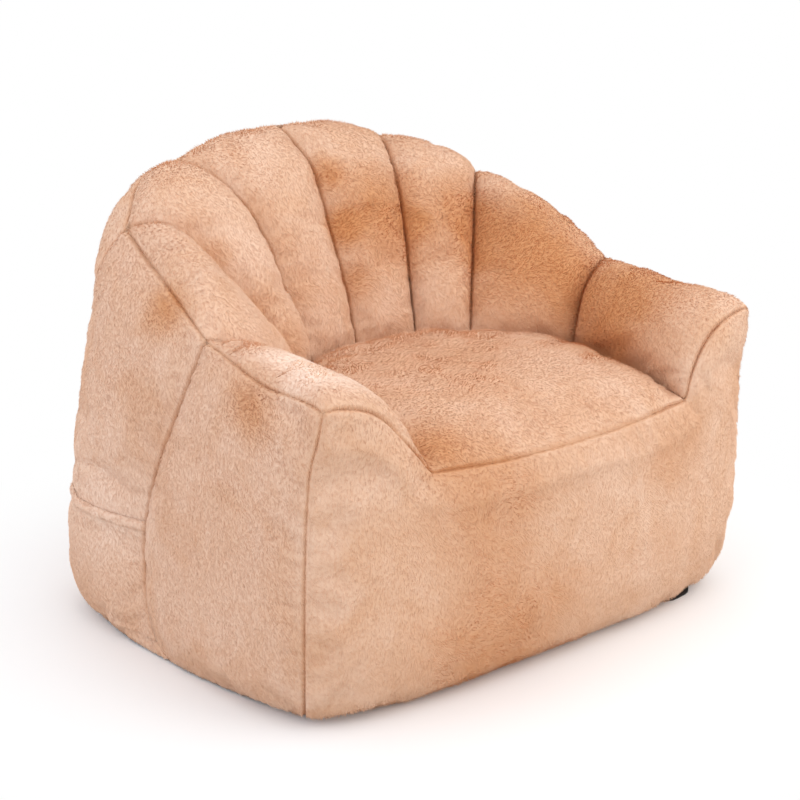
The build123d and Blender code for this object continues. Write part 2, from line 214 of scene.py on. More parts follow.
def faux_fur_plush(settings):
    """Short polyester plush: a matt, soft pile, uneven between clumps, browner where brushed back and where
    shade is painted, lighter where light is painted.
    """
    clump_mm, stroke_mm = 7, 120
    material, tree, shader, place = new_material("faux_fur_plush")
    # The nap attribute holds the brushed pile and the strokes' painted shade and light
    nap = add_node(tree, "ShaderNodeAttribute", attribute_name="nap").outputs["Fac"]
    clumps = add_node(
        tree, "ShaderNodeTexNoise",
        [("Vector", place), ("Scale", per_metre(clump_mm)), ("Detail", 3.0), ("Roughness", 0.65),
         ("Distortion", 0.6)],
    ).outputs["Fac"]
    brushed = add_node(
        tree, "ShaderNodeTexNoise",
        [("Vector", place), ("Scale", per_metre(stroke_mm)), ("Detail", 5.0), ("Roughness", 0.6),
         ("Distortion", 0.9)],
    ).outputs["Fac"]
    spread = add_node(
        tree, "ShaderNodeMapRange",
        [("Value", brushed), ("From Min", 0.35), ("From Max", 0.68), ("To Min", -0.06), ("To Max", 0.08)],
    ).outputs["Result"]
    # The lay carries the painted shade and light as well as the brushed pile
    lay = add_node(
        tree, "ShaderNodeMath", [(0, nap), (1, spread)], operation="ADD", use_clamp=True
    ).outputs[0]
    pile = blend_ramp(tree, lay, [
        (0.0, settings.fur_light), (0.4, settings.fur_mid), (0.75, settings.fur_nap_and_shade), (1.0, settings.fur_deep)
    ])
    shade = blend_ramp(tree, clumps, [(0.3, "#EAD8CB"), (0.55, "#FFFFFF")])
    colour = add_node(
        tree, "ShaderNodeMix", [("Factor", 0.4), (6, pile), (7, shade)],
        data_type="RGBA", blend_type="MULTIPLY",
    ).outputs[2]
    tree.links.new(colour, shader.inputs["Base Color"])
    shader.inputs["Roughness"].default_value = 0.95
    shader.inputs["Specular IOR Level"].default_value = 0.15
    shader.inputs["Sheen Weight"].default_value = 0.12
    shader.inputs["Sheen Roughness"].default_value = 0.45
    shader.inputs["Sheen Tint"].default_value = linear("#F7DCC8")
    return material


def woven_cloth(name, colour, dark, thread_mm, bump_strength):
    """Plain woven cloth: crossed threads, each a little lighter along its middle.

    A wave repeats after about 0.31 of the size that sets its scale. Six threads give a repeat of nearly two,
    so the weave is drawn about twice as coarse as it is, in order to show.
    """
    material, tree, shader, place = new_material(name)
    scale = per_metre(thread_mm * 6)
    warp, weft = [
        add_node(
            tree, "ShaderNodeTexWave", [("Vector", place), ("Scale", scale), ("Distortion", 0.4)],
            bands_direction=direction,
        ).outputs["Fac"]
        for direction in ("X", "Y")
    ]
    weave = add_node(tree, "ShaderNodeMath", [(0, warp), (1, weft)], operation="MULTIPLY").outputs[0]
    tree.links.new(blend_ramp(tree, weave, [(0.0, dark), (0.8, colour)]), shader.inputs["Base Color"])
    bump = add_node(
        tree, "ShaderNodeBump", [("Strength", bump_strength), ("Distance", 0.4 * MM), ("Height", weave)]
    ).outputs["Normal"]
    tree.links.new(bump, shader.inputs["Normal"])
    shader.inputs["Roughness"].default_value = 0.85
    return material


def speckled(name, light, dark, grain_mm, roughness, metallic=0.0):
    """A surface with a fine uneven grain, for nonwoven cloth, foam crumb, moulded nylon and painted zinc."""
    material, tree, shader, place = new_material(name)
    grain = add_node(
        tree, "ShaderNodeTexNoise", [("Vector", place), ("Scale", per_metre(grain_mm)), ("Detail", 4.0)]
    ).outputs["Fac"]
    tree.links.new(blend_ramp(tree, grain, [(0.3, dark), (0.7, light)]), shader.inputs["Base Color"])
    bump = add_node(
        tree, "ShaderNodeBump", [("Strength", 0.3), ("Distance", 0.1 * grain_mm * MM), ("Height", grain)]
    ).outputs["Normal"]
    tree.links.new(bump, shader.inputs["Normal"])
    shader.inputs["Roughness"].default_value = roughness
    shader.inputs["Metallic"].default_value = metallic
    return material


def settled(name, make, *values):
    """A material by its name, made the first time it is asked for."""
    return bpy.data.materials.get(name) or make(*values)


def new_piece(name, mesh, material, nodes):
    """Links a mesh as a piece that rides on the root body and stands for CAD nodes."""
    piece = bpy.data.objects.new(name, mesh)
    bpy.context.scene.collection.objects.link(piece)
    mesh.materials.clear()
    mesh.materials.append(material)
    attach(piece, "root")
    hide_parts(*nodes)
    return piece


def ease(distance, edge):
    """One where distance is nought or less, falling smoothly to nought at edge."""
    share = min(max(1 - distance / edge, 0.0), 1.0)
    return share * share * (3 - 2 * share)


def slumped(x, y, z):
    """A point with the chair's slump: the seat's front leans to the right, and the right shoulder sags."""
    across = ease(abs(x) - SEAT_CORNER[0], SEAT_LEAN_ACROSS)
    back = ease(y - SEAT_CORNER[1], SEAT_LEAN_BACK)
    lean = SEAT_LEAN * across * back * ease(abs(z - SEAT_CORNER[2]), SEAT_LEAN_UP)
    sag = SHOULDER_SAG * ease((Vector((x, y, z)) - Vector(SHOULDER)).length, SHOULDER_SAG_REACH)
    return Vector((x + lean, y, z - sag))


class Line:
    """A smooth curve through points in millimetres, walked by the share of its length, in metres."""

    steps_between = 12

    def __init__(self, points, side=1):
        points = [slumped(side * x, y, z) * MM for x, y, z in points]
        ends = [2 * points[0] - points[1]] + points + [2 * points[-1] - points[-2]]
        self.places = [points[0]]
        for before, start, end, after in zip(ends, ends[1:], ends[2:], ends[3:]):
            for step in range(1, self.steps_between + 1):
                t = step / self.steps_between
                self.places.append(
                    0.5 * (2 * start + (end - before) * t + (2 * before - 5 * start + 4 * end - after) * t**2
                           + (3 * start - before - 3 * end + after) * t**3)
                )
        self.walked = [0.0]
        for start, end in zip(self.places, self.places[1:]):
            self.walked.append(self.walked[-1] + (end - start).length)

    def at(self, share):
        distance = share * self.walked[-1]
        for index in range(1, len(self.walked)):
            if distance <= self.walked[index] or index == len(self.walked) - 1:
                run = self.walked[index] - self.walked[index - 1]
                part = (distance - self.walked[index - 1]) / run
                return self.places[index - 1].lerp(self.places[index], part)


class Edge:
    """One side of a panel: lines sewn end to end, each with its count of grid steps, walked either way."""

    def __init__(self, *stretches):
        self.stretches = stretches
        self.steps = sum(steps for line, steps, forward in stretches)

    def at(self, share):
        place = share * self.steps
        for line, steps, forward in self.stretches:
            if place <= steps + 1e-6:
                part = min(max(place / steps, 0.0), 1.0)
                return line.at(part if forward else 1 - part)
            place -= steps


def lobe(share, power):
    """A swell that is nought at both ends of a panel and fuller as power grows."""
    return max(0.0, 1 - abs(2 * share - 1) ** power) ** SWELL_ROUNDING


def add_panel(bm, index, top, bottom, first, last, swell):
    """A grid stretched between four seams, which remembers how far each point will swell."""
    amount, power_along, power_across = swell
    swell_layer = bm.verts.layers.float["swell"]
    seam_layer = bm.verts.layers.float["seam"]
    made = bmesh.ops.create_grid(bm, x_segments=top.steps, y_segments=first.steps, size=0.5, calc_uvs=True)
    corners = [top.at(0), top.at(1), bottom.at(0), bottom.at(1)]
    tops, bottoms, firsts, lasts = {}, {}, {}, {}
    for vert in made["verts"]:
        s, t = vert.co.x + 0.5, vert.co.y + 0.5
        column, row = round(s * top.steps), round(t * first.steps)
        if column not in tops:
            tops[column], bottoms[column] = top.at(s), bottom.at(s)
        if row not in firsts:
            firsts[row], lasts[row] = first.at(t), last.at(t)
        ruled = tops[column].lerp(bottoms[column], t) + firsts[row].lerp(lasts[row], s)
        corner = corners[0].lerp(corners[1], s).lerp(corners[2].lerp(corners[3], s), t)
        vert.co = ruled - corner
        vert[swell_layer] = amount * MM * lobe(s, power_along) * lobe(t, power_across)
        vert[seam_layer] = 1.0 if column in (0, top.steps) or row in (0, first.steps) else 0.0
    for face in {face for vert in made["verts"] for face in vert.link_faces}:
        face.material_index = index


def cover_panels():
    """Every panel of the cover with its four edges, in the order of the panels' numbers."""
    lines = {
        (name, hand): Line(points, side) for name, points in SEAMS.items() for hand, side in HANDS.items()
    }
    panels = {}

    def edge(name, hand, steps):
        return Edge((lines[name, hand], steps, True))

    channels = (
        ("arm", "arm_front", "arm_seam", ARM_STEPS),
        ("wing", "arm_seam", "wing_seam", WING_STEPS),
        ("outer_channel", "wing_seam", "channel_seam", OUTER_CHANNEL_STEPS),
        ("inner_channel", "channel_seam", "centre_seam", INNER_CHANNEL_STEPS),
    )
    numbers = {("outer_channel", "left"): 1, ("inner_channel", "left"): 2,
               ("inner_channel", "right"): 3, ("outer_channel", "right"): 4}
    for hand in HANDS:
        for name, first, last, steps in channels:
            number = numbers.get((name, hand))
            node = f"back_channel_panel_{number}" if number else f"{name}_panel_{hand}"
            panels[node] = (
                edge(f"{name}_ridge", hand, steps), edge(f"{name}_seat", hand, steps),
                edge(first, hand, INNER_STEPS), edge(last, hand, INNER_STEPS), SWELLS[name],
            )
        panels[f"side_panel_{hand}"] = (
            edge("arm_ridge", hand, ARM_STEPS), edge("side_floor", hand, ARM_STEPS),
            edge("front_corner", hand, OUTER_STEPS), edge("side_seam", hand, OUTER_STEPS), SWELLS["side"],
        )
        panels[f"rear_side_panel_{hand}"] = (
            edge("wing_ridge", hand, WING_STEPS), edge("rear_side_floor", hand, WING_STEPS),
            edge("side_seam", hand, OUTER_STEPS), edge("rear_seam", hand, OUTER_STEPS), SWELLS["rear_side"],
        )

    def across(*stretches):
        """An edge from the left hand over the middle to the right, given from the left end to the middle."""
        left = [(lines[name, "left"], steps, True) for name, steps in stretches]
        right = [(lines[name, "right"], steps, False) for name, steps in reversed(stretches)]
        return Edge(*left, *right)

    panels["back_panel"] = (
        across(("outer_channel_ridge", OUTER_CHANNEL_STEPS), ("inner_channel_ridge", INNER_CHANNEL_STEPS)),
        across(("back_floor", BACK_STEPS)),
        edge("rear_seam", "left", OUTER_STEPS), edge("rear_seam", "right", OUTER_STEPS), SWELLS["back"],
    )
    panels["seat_panel"] = (
        across(("seat_front", HALF_SEAT_STEPS)),
        across(("wing_seat", WING_STEPS), ("outer_channel_seat", OUTER_CHANNEL_STEPS),
               ("inner_channel_seat", INNER_CHANNEL_STEPS)),
        edge("arm_seat", "left", ARM_STEPS), edge("arm_seat", "right", ARM_STEPS), SWELLS["seat"],
    )
    panels["front_panel"] = (
        across(("arm_front", INNER_STEPS), ("seat_front", HALF_SEAT_STEPS)),
        across(("front_floor", INNER_STEPS + HALF_SEAT_STEPS)),
        edge("front_corner", "left", OUTER_STEPS), edge("front_corner", "right", OUTER_STEPS),
        SWELLS["front"],
    )
    return panels


def puff_up(mesh, settings):
    """Puffs the sewn bag up by cloth pressure, with its seams held and its travel capped."""
    bag = bpy.data.objects.new("sewn_bag", mesh)
    scene = bpy.context.scene
    scene.collection.objects.link(bag)
    held = bag.vertex_groups.new(name="held")
    seam = mesh.attributes["seam"].data
    held.add([index for index, value in enumerate(seam) if value.value > 0.5], 1.0, "REPLACE")
    cloth = bag.modifiers.new("Cloth", "CLOTH")
    cloth.settings.vertex_group_mass = "held"
    cloth.settings.quality = 6
    cloth.settings.mass = 0.4
    cloth.settings.tension_stiffness = 20
    cloth.settings.compression_stiffness = 20
    cloth.settings.shear_stiffness = 8
    cloth.settings.bending_stiffness = 2.0
    cloth.settings.use_pressure = True
    cloth.settings.uniform_pressure_force = settings.pressure
    cloth.settings.shrink_min = -settings.slack
    cloth.settings.effector_weights.gravity = 0.0
    start = [vert.co.copy() for vert in mesh.vertices]
    frames = 18
    for number in range(1, frames + 1):
        scene.frame_set(number)
    graph = bpy.context.evaluated_depsgraph_get()
    moved = [vert.co.copy() for vert in bag.evaluated_get(graph).data.vertices]
    for vert, before, after in zip(mesh.vertices, start, moved):
        travel = after - before
        if travel.length > settings.puff_cap:
            travel *= settings.puff_cap / travel.length
        vert.co = before + travel
    scene.frame_set(1)
    bpy.data.objects.remove(bag)


def zip_slot():
    """The slot in the back panel that the zip lies in, as its lowest and highest corners."""
    stops_low, stops_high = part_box("zip_stops")
    end_room, under_pull = 5 * MM, 0.3 * MM
    face_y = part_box("zip_pull")[0].y - under_pull
    low = Vector((stops_low.x - end_room, stops_low.y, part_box("zip_tape_lower")[0].z))
    return low, Vector((stops_high.x + end_room, face_y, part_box("zip_tape_upper")[1].z))


# Tufts of pile: how flat a blade is, how far it stands up from its lean, and the range of its size
TUFT_FLATNESS, TUFT_STAND, TUFT_SMALL, TUFT_LARGE = 0.35, 0.2, 0.7, 1.2

# Lean of the nap: the size and strength of its swirls, how far it falls forwards, and its least height
SWIRL_MM, SWIRL_STRENGTH, FORWARD_FALL, PILE_FLOOR = 60, 1.1, -0.3, 0.5 * MM

# Scale and offset on the texture map of a panel's face and of its backing, and the spread of a tuft there
FACE_CHART = ((0.7, 0.97, 0), (0.01, 0.01, 0))
BACK_CHART = ((0.24, 0.97, 0), (0.75, 0.01, 0))
TUFT_SPREAD = 1.4

# Triangles of one tuft, and of one four-sided face with the backing behind it
TUFT_TRIANGLES, FACE_TRIANGLES = 4, 4


def pile_nodes(fur, settings):
    """Geometry nodes that stand flat, tapered tufts on a panel's outer face, leaning along the nap.

    A real tuft is far finer. These are drawn as coarse as they need to be to show.
    """
    tree = bpy.data.node_groups.new("pile", "GeometryNodeTree")
    tree.interface.new_socket("Geometry", in_out="INPUT", socket_type="NodeSocketGeometry")
    tree.interface.new_socket("Tufts", in_out="INPUT", socket_type="NodeSocketFloat")
    tree.interface.new_socket("Geometry", in_out="OUTPUT", socket_type="NodeSocketGeometry")
    given = add_node(tree, "NodeGroupInput").outputs
    pile = add_node(tree, "GeometryNodeInputNamedAttribute", [("Name", "pile")]).outputs["Attribute"]
    nap = add_node(tree, "GeometryNodeInputNamedAttribute", [("Name", "nap")]).outputs["Attribute"]
    layer = add_node(tree, "GeometryNodeInputMaterialIndex").outputs[0]
    outside = add_node(
        tree, "FunctionNodeCompare", [(2, layer), (3, 0)], data_type="INT", operation="EQUAL"
    ).outputs["Result"]
    density = add_node(
        tree, "ShaderNodeMath", [(0, given["Tufts"]), (1, pile)], operation="MULTIPLY"
    ).outputs[0]
    chart = add_node(
        tree, "GeometryNodeInputNamedAttribute", [("Name", BAKE_MAP)], data_type="FLOAT_VECTOR"
    ).outputs["Attribute"]
    face_chart, back_chart = [
        add_node(
            tree, "ShaderNodeVectorMath", [(0, chart), (1, scale), (2, offset)], operation="MULTIPLY_ADD"
        ).outputs[0]
        for scale, offset in (FACE_CHART, BACK_CHART)
    ]
    charted = add_node(
        tree, "GeometryNodeSwitch", [("Switch", outside), ("False", back_chart), ("True", face_chart)],
        input_type="VECTOR",
    ).outputs[0]
    cloth = add_node(
        tree, "GeometryNodeStoreNamedAttribute",
        [("Geometry", given["Geometry"]), ("Name", BAKE_MAP), ("Value", charted)],
        data_type="FLOAT2", domain="CORNER",
    ).outputs[0]
    points = add_node(
        tree, "GeometryNodeDistributePointsOnFaces",
        [("Mesh", cloth), ("Selection", outside), ("Density", density), ("Seed", 7)],
    ).outputs
    tuft = add_node(
        tree, "GeometryNodeMeshCone",
        [("Vertices", 3), ("Radius Top", 0.0), ("Radius Bottom", settings.tuft_width / 2),
         ("Depth", settings.tuft_length)],
        fill_type="NGON",
    ).outputs["Mesh"]
    place = add_node(tree, "GeometryNodeInputPosition").outputs[0]
    tuft = add_node(
        tree, "GeometryNodeStoreNamedAttribute", [("Geometry", tuft), ("Name", "strand"), ("Value", place)],
        data_type="FLOAT_VECTOR",
    ).outputs[0]
    tuft = add_node(
        tree, "GeometryNodeTransform", [("Geometry", tuft), ("Scale", (TUFT_FLATNESS, 1.0, 1.0))]
    ).outputs[0]
    tuft = add_node(
        tree, "GeometryNodeSetShadeSmooth", [("Geometry", tuft), ("Shade Smooth", False)]
    ).outputs[0]
    tuft = add_node(tree, "GeometryNodeSetMaterial", [("Geometry", tuft), ("Material", fur)]).outputs[0]
    swirl = add_node(
        tree, "ShaderNodeTexNoise",
        [("Vector", place), ("Scale", per_metre(SWIRL_MM)), ("Detail", 3.0), ("Roughness", 0.5)],
    ).outputs["Color"]
    swirl = add_node(
        tree, "ShaderNodeVectorMath", [(0, swirl), (1, (0.5, 0.5, 0.5))], operation="SUBTRACT"
    ).outputs[0]
    fall = add_node(
        tree, "ShaderNodeMapRange",
        [("Value", nap), ("From Min", 0.3), ("From Max", 0.85), ("To Min", -0.6), ("To Max", 0.4)],
    ).outputs["Result"]
    fall = add_node(tree, "ShaderNodeCombineXYZ", [("Y", FORWARD_FALL), ("Z", fall)]).outputs[0]
    lean = add_node(
        tree, "ShaderNodeVectorMath", [(0, swirl), (1, [SWIRL_STRENGTH] * 3), (2, fall)],
        operation="MULTIPLY_ADD",
    ).outputs[0]
    inward = add_node(
        tree, "ShaderNodeVectorMath", [(0, lean), (1, points["Normal"])], operation="PROJECT"
    ).outputs[0]
    lean = add_node(tree, "ShaderNodeVectorMath", [(0, lean), (1, inward)], operation="SUBTRACT").outputs[0]
    stand = add_node(
        tree, "ShaderNodeVectorMath", [(0, points["Normal"]), (1, [TUFT_STAND] * 3), (2, lean)],
        operation="MULTIPLY_ADD",
    ).outputs[0]
    turn = add_node(tree, "FunctionNodeAlignRotationToVector", [("Vector", stand)], axis="Z").outputs[0]
    turn = add_node(
        tree, "FunctionNodeAlignRotationToVector", [("Rotation", turn), ("Vector", points["Normal"])],
        axis="X", pivot_axis="Z",
    ).outputs[0]
    size = add_node(
        tree, "FunctionNodeRandomValue", [(2, TUFT_SMALL), (3, TUFT_LARGE), ("Seed", 3)]
    ).outputs[1]
    tufts = add_node(
        tree, "GeometryNodeInstanceOnPoints",
        [("Points", points["Points"]), ("Instance", tuft), ("Rotation", turn), ("Scale", size)],
    ).outputs[0]
    tufts = add_node(tree, "GeometryNodeRealizeInstances", [("Geometry", tufts)]).outputs[0]
    strand = add_node(
        tree, "GeometryNodeInputNamedAttribute", [("Name", "strand")], data_type="FLOAT_VECTOR"
    ).outputs["Attribute"]
    strand = add_node(tree, "ShaderNodeSeparateXYZ", [(0, strand)]).outputs
    rise = add_node(tree, "ShaderNodeMath", [(0, strand["Y"]), (1, strand["Z"])], operation="ADD").outputs[0]
    spread = add_node(tree, "ShaderNodeCombineXYZ", [("X", strand["X"]), ("Y", rise)]).outputs[0]
    spread = add_node(
        tree, "ShaderNodeVectorMath", [(0, spread), (1, (TUFT_SPREAD, TUFT_SPREAD, 0)), (2, chart)],
        operation="MULTIPLY_ADD",
    ).outputs[0]
    tufts = add_node(
        tree, "GeometryNodeStoreNamedAttribute", [("Geometry", tufts), ("Name", BAKE_MAP), ("Value", spread)],
        data_type="FLOAT2", domain="CORNER",
    ).outputs[0]
    joined = add_node(tree, "GeometryNodeJoinGeometry", [("Geometry", cloth)])
    tree.links.new(tufts, joined.inputs["Geometry"])
    along = add_node(tree, "ShaderNodeSeparateXYZ", [(0, place)]).outputs
    above = add_node(
        tree, "ShaderNodeMath", [(0, along["Z"]), (1, PILE_FLOOR)], operation="MAXIMUM"
    ).outputs[0]
    pressed = add_node(
        tree, "ShaderNodeCombineXYZ", [("X", along["X"]), ("Y", along["Y"]), ("Z", above)]
    ).outputs[0]
    standing = add_node(
        tree, "GeometryNodeSetPosition", [("Geometry", joined.outputs[0]), ("Position", pressed)]
    ).outputs[0]
    add_node(tree, "NodeGroupOutput", [("Geometry", standing)])
    return tree


def lay_cloth(piece, thickness, settings):
    """Gives a panel its thickness, with a knitted backing inside and tufts of pile outside."""
    fur = piece.data.materials[0]
    backing = settled("knitted_backing", woven_cloth, "knitted_backing", "#C9A488", "#A07A5E", 1.5, 0.4)
    piece.data.materials.append(backing)
    wall = piece.modifiers.new("Solidify", "SOLIDIFY")
    wall.thickness = thickness
    wall.offset = -1
    wall.material_offset = wall.material_offset_rim = 1
    tree = bpy.data.node_groups.get("pile") or pile_nodes(fur, settings)
    area = sum(face.area for face in piece.data.polygons)
    room = (settings.panel_triangles - FACE_TRIANGLES * len(piece.data.polygons)) / TUFT_TRIANGLES
    pile = piece.modifiers.new("Pile", "NODES")
    pile.node_group = tree
    tufts = next(item for item in tree.interface.items_tree if item.name == "Tufts")
    pile[tufts.identifier] = min(settings.tufts_per_area, room / area)


# How far the pile is brushed back where nothing has stroked it
EVEN_LAY = 0.36

# Strokes in the pile, partly brushed marks and partly painted shade and light: centre, radius and depth
NAP_AND_SHADE_STROKES = [
    ((-412, 20, 535), 65, 0.36),
    ((-434, -235, 472), 85, 0.36),
    ((-225, -340, 385), 90, 0.28),
    ((250, -390, 300), 120, 0.1),
    ((-150, -392, 310), 150, 0.26),
    # Painted shade: the front darker towards the floor, where it curves under
    ((-130, -350, 90), 210, 0.34),
    ((0, -170, 440), 270, 0.1),
    # Brushed pile and painted shade: the inside of the right arm and wing darker and warmer
    ((345, -200, 440), 190, 0.5),
    ((310, 10, 510), 190, 0.46),
    ((-190, 170, 600), 150, -0.08),
    ((-50, 200, 600), 120, -0.06),
    # Brushed pile and painted shade: the back's right inner channels darker and warmer
    ((90, 180, 580), 140, 0.42),
    ((235, 150, 560), 130, 0.46),
    # Painted light: the lower left rear side lighter
    ((-450, 150, 230), 230, -0.12),
    # Painted light: the top of the left arm lighter
    ((-360, -260, 510), 130, -0.45),
]

# Painted shade along the right of each valley between the back's channels, where the pile also lies back
VALLEY_SHIFT, VALLEY_RADIUS, VALLEY_SHADE_DEPTH = 22, 50, 0.16
NAP_AND_SHADE_STROKES += [
    ((side * x + VALLEY_SHIFT, y, z), VALLEY_RADIUS, VALLEY_SHADE_DEPTH)
    for seam in (WING_SEAM, CHANNEL_SEAM, CENTRE_SEAM) for side in (-1, 1) for x, y, z in seam[2:5]
]


def nap_and_shade_at(place):
    """How far the pile is brushed back at a place, with painted shade and light: soft strokes on top of an
    even lay.
    """
    lay = EVEN_LAY
    for centre, radius, depth in NAP_AND_SHADE_STROKES:
        distance = (place - Vector(centre) * MM).length / (radius * MM)
        if distance < 1:
            lay += depth * (1 - distance**2) ** 2
    return min(max(lay, 0.0), 1.0)


class ArmchairSettings(bpy.types.PropertyGroup):
    """Sizes and colours of the chair's soft pieces."""

    # Lit pile, and the painted light where a stroke lightens the pile
    fur_light: bpy.props.StringProperty(
        name="Pile, lit", description="Pile that lies towards the light", default="#FAE4D2"
    )
    fur_mid: bpy.props.StringProperty(
        name="Pile", description="Pile at its usual lay", default="#E3BB9C"
    )
    # Brushed pile, and the painted shade of the darker strokes
    fur_nap_and_shade: bpy.props.StringProperty(
        name="Pile, brushed", description="Pile brushed back", default="#D49A6B"
    )
    # Roots in a brushed mark, and the deepest painted shade
    fur_deep: bpy.props.StringProperty(
        name="Pile, deep", description="Roots that show in a brushed mark", default="#CC8A55"
    )
    cover_thickness: bpy.props.FloatProperty(
        name="Cover thickness", description="Cloth and pile together", default=6 * MM,
        subtype="DISTANCE", unit="LENGTH",
    )
    crease_depth: bpy.props.FloatProperty(
        name="Crease depth", description="How far a seam sinks into the pile", default=4 * MM,
        subtype="DISTANCE", unit="LENGTH",
    )
    pile_relief: bpy.props.FloatProperty(
        name="Pile relief", description="Height of the clumps in the pile", default=0.7 * MM,
        subtype="DISTANCE", unit="LENGTH",
    )
    puff_cap: bpy.props.FloatProperty(
        name="Puff cap", description="The furthest that pressure moves the cloth", default=9 * MM,
        subtype="DISTANCE", unit="LENGTH",
    )
    tuft_length: bpy.props.FloatProperty(
        name="Tuft length", description="Length of the pile's tufts", default=4.8 * MM,
        subtype="DISTANCE", unit="LENGTH",
    )
    tuft_width: bpy.props.FloatProperty(
        name="Tuft width", description="Width of a tuft at its root", default=1.5 * MM,
        subtype="DISTANCE", unit="LENGTH",
    )
    tufts_per_area: bpy.props.FloatProperty(
        name="Tufts", description="Tufts on a square metre of cloth", default=150_000
    )
    panel_triangles: bpy.props.FloatProperty(
        name="Panel triangles", description="Triangles one panel may have with its tufts", default=192_000
    )
    pressure: bpy.props.FloatProperty(
        name="Pressure", description="Pressure of the fill on the cover", default=3.0
    )
    slack: bpy.props.FloatProperty(
        name="Slack", description="Spare cloth between seams, as a share", default=0.02
    )


class ARMCHAIR_OT_cover(bpy.types.Operator):
    """Sews the cover from its panels, puffs it up and lays its pile"""

    bl_idname = "armchair.cover"
    bl_label = "Cover panels"

    # Panels whose edges come this near are sewn together
    sewing_gap = 0.4 * MM
    # Room round the zip that is flat, the width over which the flat ends, and room that is bare of pile
    flat_room, flat_edge, bare_edge, pull_reach = 40 * MM, 110 * MM, 12 * MM, 34 * MM
    # How far cloth beside a seam is drawn to it and sinks with it, and how the pile lies in the crease
    seam_draw, seam_sink, seam_nap, seam_pile = 0.45, 0.15, 0.15, 0.8
    # Sizes of the clumps in the pile, and how much higher the large ones stand
    small_clump, large_clump, large_rise = 13 * MM, 45 * MM, 1.4

    def execute(self, context):
        settings = context.scene.armchair
        panels = cover_panels()
        bm = bmesh.new()
        bm.verts.layers.float.new("swell")
        bm.verts.layers.float.new("seam")
        bm.loops.layers.uv.new(BAKE_MAP)
        for index, edges in enumerate(panels.values()):
            add_panel(bm, index, *edges)
        bmesh.ops.remove_doubles(bm, verts=bm.verts, dist=self.sewing_gap)
        rim = [edge for edge in bm.edges if edge.is_boundary]
        floor = bmesh.ops.contextual_create(bm, geom=rim)["faces"]
        bmesh.ops.recalc_face_normals(bm, faces=bm.faces)
        if bm.calc_volume(signed=True) < 0:
            bmesh.ops.reverse_faces(bm, faces=bm.faces)
        bm.normal_update()
        swell = bm.verts.layers.float["swell"]
        for vert, normal in [(vert, vert.normal.copy()) for vert in bm.verts]:
            vert.co += normal * vert[swell]
        bm.normal_update()
        bmesh.ops.delete(bm, geom=floor, context="FACES_ONLY")
        mesh = bpy.data.meshes.new("sewn_bag")
        bm.to_mesh(mesh)
        bm.free()
        puff_up(mesh, settings)
        sewn = bmesh.new()
        sewn.from_mesh(mesh)
        bpy.data.meshes.remove(mesh)
        self.lay_pile(sewn, settings)
        fur = settled("faux_fur_plush", faux_fur_plush, settings)
        for index, node in enumerate(panels):
            self.cut_panel(sewn, index, node, fur, settings)
        sewn.free()
        return {"FINISHED"}

    def lay_pile(self, sewn, settings):
        """Sinks the seams, raises clumps of pile between them and notes how the nap lies, with its painted
        shade and light.
        """
        sewn.normal_update()
        slot_low, slot_high = zip_slot()
        slot_z = (slot_low.z + slot_high.z) / 2
        nap = sewn.verts.layers.float.new("nap")
        pile = sewn.verts.layers.float.new("pile")
        seams = {vert for vert in sewn.verts if len({face.material_index for face in vert.link_faces}) > 1}
        # Walked in the mesh's order, because the order of a set can change from run to run
        in_order = [vert for vert in sewn.verts if vert in seams]
        beside = {edge.other_vert(vert): vert for vert in in_order for edge in vert.link_edges}
        for vert in beside.keys() - seams:
            vert.co = vert.co.lerp(beside[vert].co, self.seam_draw)
        for vert, normal in [(vert, vert.normal.copy()) for vert in sewn.verts]:
            place = vert.co.copy()
            # Brushed pile, with painted shade and light from the strokes
            vert[nap] = nap_and_shade_at(place)
            vert[pile] = 1.0
            clump = noise.noise(place / self.small_clump)
            clump += self.large_rise * noise.noise(place / self.large_clump)
            if vert in seams:
                vert.co -= normal * settings.crease_depth
                vert[nap] = min(vert[nap] + self.seam_nap, 1.0)
                vert[pile] = self.seam_pile
            elif vert in beside:
                vert.co -= normal * settings.crease_depth * self.seam_sink
            else:
                vert.co += normal * settings.pile_relief * clump
            if place.y > 0:
                beyond_x, beyond_z = abs(place.x) - slot_high.x, abs(place.z - slot_z)
                flat = ease(beyond_x - self.flat_room, self.flat_edge)
                flat *= ease(beyond_z - self.flat_room, self.flat_edge)
                vert.co.y += flat * (slot_high.y - vert.co.y)
                if beyond_x < self.pull_reach and beyond_z < slot_high.z - slot_z + self.bare_edge:
                    vert[pile] = 0.0
            vert.co.z = max(vert.co.z, FOOT_Z * MM)

    def cut_panel(self, sewn, index, node, fur, settings):
        """One panel of the sewn bag as its own closed piece of thick cloth."""
        panel = sewn.copy()
        others = [face for face in panel.faces if face.material_index != index]
        bmesh.ops.delete(panel, geom=others, context="FACES")
        if node == "back_panel":
            self.cut_slot(panel)
        for face in panel.faces:
            face.material_index = 0
            face.smooth = True
        mesh = bpy.data.meshes.new(f"{node}_plush")
        panel.to_mesh(mesh)
        panel.free()
        piece = new_piece(f"{node}_plush", mesh, fur, [node])
        lay_cloth(piece, settings.cover_thickness, settings)

    def cut_slot(self, panel):
        """Opens the back panel where the zip lies."""
        low, high = zip_slot()
        for place, normal in ((low, (1, 0, 0)), (high, (1, 0, 0)), (low, (0, 0, 1)), (high, (0, 0, 1))):
            near = [face for face in panel.faces if self.near_slot(face, low, high)]
            around = near + list(dict.fromkeys(edge for face in near for edge in face.edges))
            around += list(dict.fromkeys(vert for face in near for vert in face.verts))
            bmesh.ops.bisect_plane(panel, geom=around, plane_co=place, plane_no=normal)
        inside = [
            face for face in panel.faces
            if low.x < face.calc_center_median().x < high.x and low.z < face.calc_center_median().z < high.z
        ]
        bmesh.ops.delete(panel, geom=inside, context="FACES")

    def near_slot(self, face, low, high):
        centre = face.calc_center_median()
        across = low.x - self.flat_room < centre.x < high.x + self.flat_room
        return across and low.z - self.flat_room < centre.z < high.z + self.flat_room


